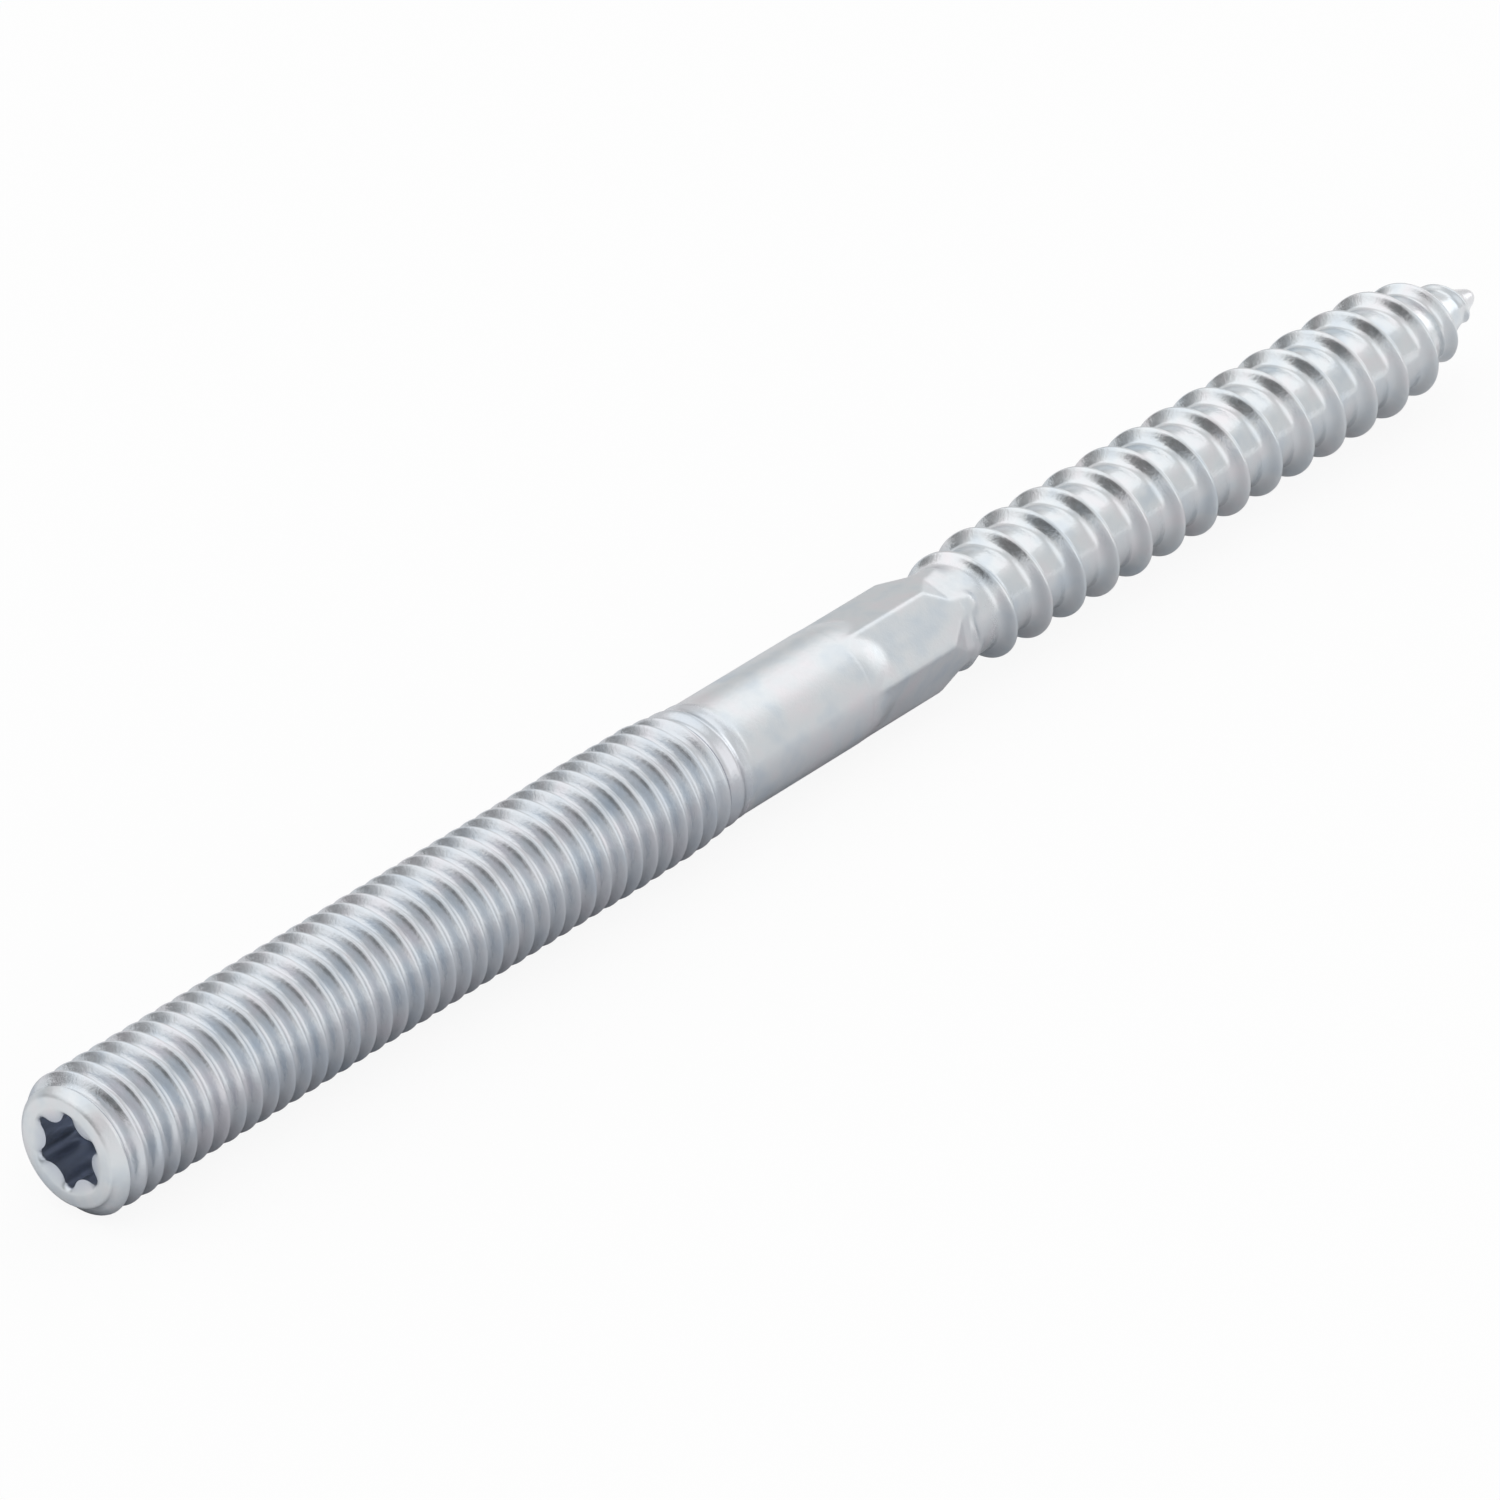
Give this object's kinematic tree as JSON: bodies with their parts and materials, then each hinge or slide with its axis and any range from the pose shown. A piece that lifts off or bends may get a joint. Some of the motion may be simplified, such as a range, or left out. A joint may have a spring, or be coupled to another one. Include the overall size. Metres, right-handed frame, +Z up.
{
  "type": "double-threaded screw",
  "caption": "Straight screw: machine thread at one end, coarse wood thread with gimlet point at the other, plain shank and pressed hexagon between, lobed driver recess in the end face.",
  "frame": {"origin": "middle of the bounding box's lowest plane: below the screw's axis, half-way along its length, where the lying screw meets the surface", "axes": "+X along the screw's axis from the machine end to the gimlet point, +Z up from the surface that the screw lies on, +Y to the side"},
  "size_m": [0.12, 0.008, 0.008],
  "materials": {
    "zinc_plated_steel": "bright zinc plating over rolled steel, satin on the shank"
  },
  "bodies": {
    "root": {"double_threaded_screw": "zinc_plated_steel"}
  },
  "joints": []
}
